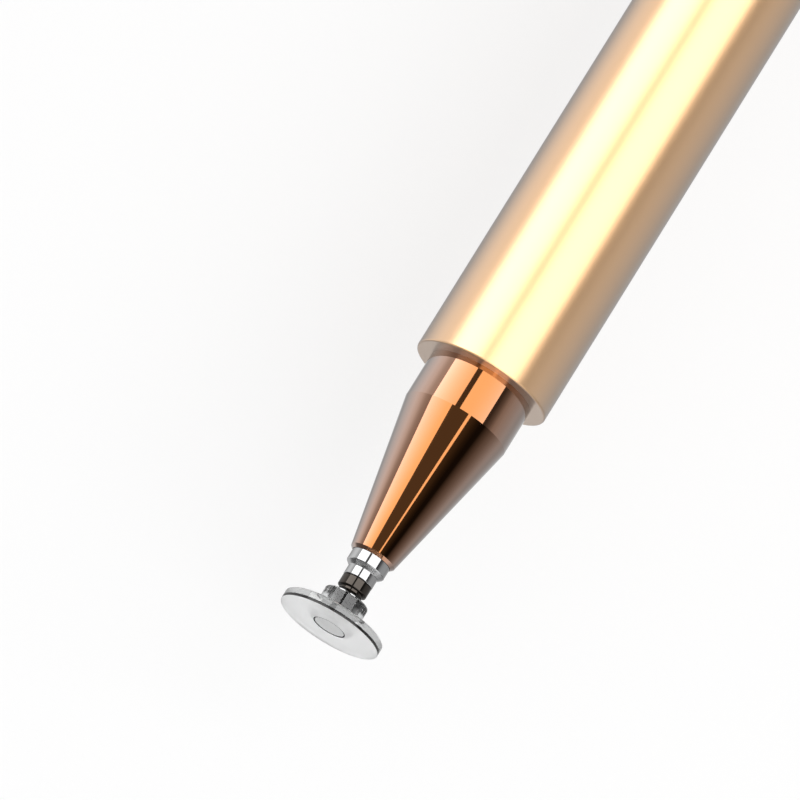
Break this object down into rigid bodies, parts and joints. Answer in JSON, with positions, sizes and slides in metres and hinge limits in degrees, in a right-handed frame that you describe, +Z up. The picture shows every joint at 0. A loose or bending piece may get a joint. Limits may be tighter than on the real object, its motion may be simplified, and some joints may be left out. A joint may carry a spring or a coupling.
{
  "type": "stylus pen",
  "caption": "Slim round stylus pen with a tapered nose, a clear tilting disc on a ball at its tip, a pocket clip and a magnetic cap posted on its tail.",
  "frame": {"origin": "centre of the disc's writing face, on the pen's axis", "axes": "+X along the pen from the tip to the tail, +Z up with the pen lying on its side, +Y across it"},
  "size_m": [0.1502, 0.0107, 0.009],
  "materials": {
    "clear_plastic": "clear, polished moulding",
    "conductive_film": "clear coated film",
    "black_nickel": "polished black nickel plating",
    "chrome": "polished chrome plating",
    "rose_gold": "mirror-polished rose gold plating",
    "satin_gold": "satin gold anodising",
    "black_rubber": "moulded rubber",
    "magnet_nickel": "nickel plating",
    "keeper_steel": "turned steel",
    "liner_plastic": "moulded plastic"
  },
  "bodies": {
    "pen": {"barrel": "satin_gold", "nose_cone": "rose_gold", "cone_lock_ring": "black_rubber", "front_magnet": "magnet_nickel", "pocket_clip": "rose_gold", "tail_plug": "rose_gold", "plug_lock_ring": "black_rubber", "tail_magnet": "magnet_nickel"},
    "grip_ring": {"nib_grip_ring": "black_rubber"},
    "nib": {"nib_ferrule": "chrome", "ball_stud": "black_nickel"},
    "socket": {"disc_hub": "clear_plastic"},
    "disc": {"touch_disc": "clear_plastic", "contact_film": "conductive_film"},
    "cap": {"cap_shell": "satin_gold", "cap_keeper": "keeper_steel", "cap_liner": "liner_plastic"}
  },
  "joints": [
    {"name": "nib_pull", "type": "slide", "parent": "pen", "child": "grip_ring", "axis": [-1, 0, 0], "range_m": [0, 0.0075]},
    {"name": "nib_turn", "type": "hinge", "parent": "grip_ring", "child": "nib", "pos_m": [0.0065, 0, 0], "axis": [1, 0, 0], "continuous": true},
    {"name": "disc_lean", "type": "hinge", "parent": "nib", "child": "socket", "pos_m": [0.00148, 0, 0], "axis": [0, 1, 0], "range_deg": [-20, 20]},
    {"name": "disc_spin", "type": "hinge", "parent": "socket", "child": "disc", "pos_m": [0.0003, 0, 0], "axis": [1, 0, 0], "continuous": true},
    {"name": "cap_pull", "type": "slide", "parent": "pen", "child": "cap", "axis": [1, 0, 0], "range_m": [0, 0.025]}
  ]
}
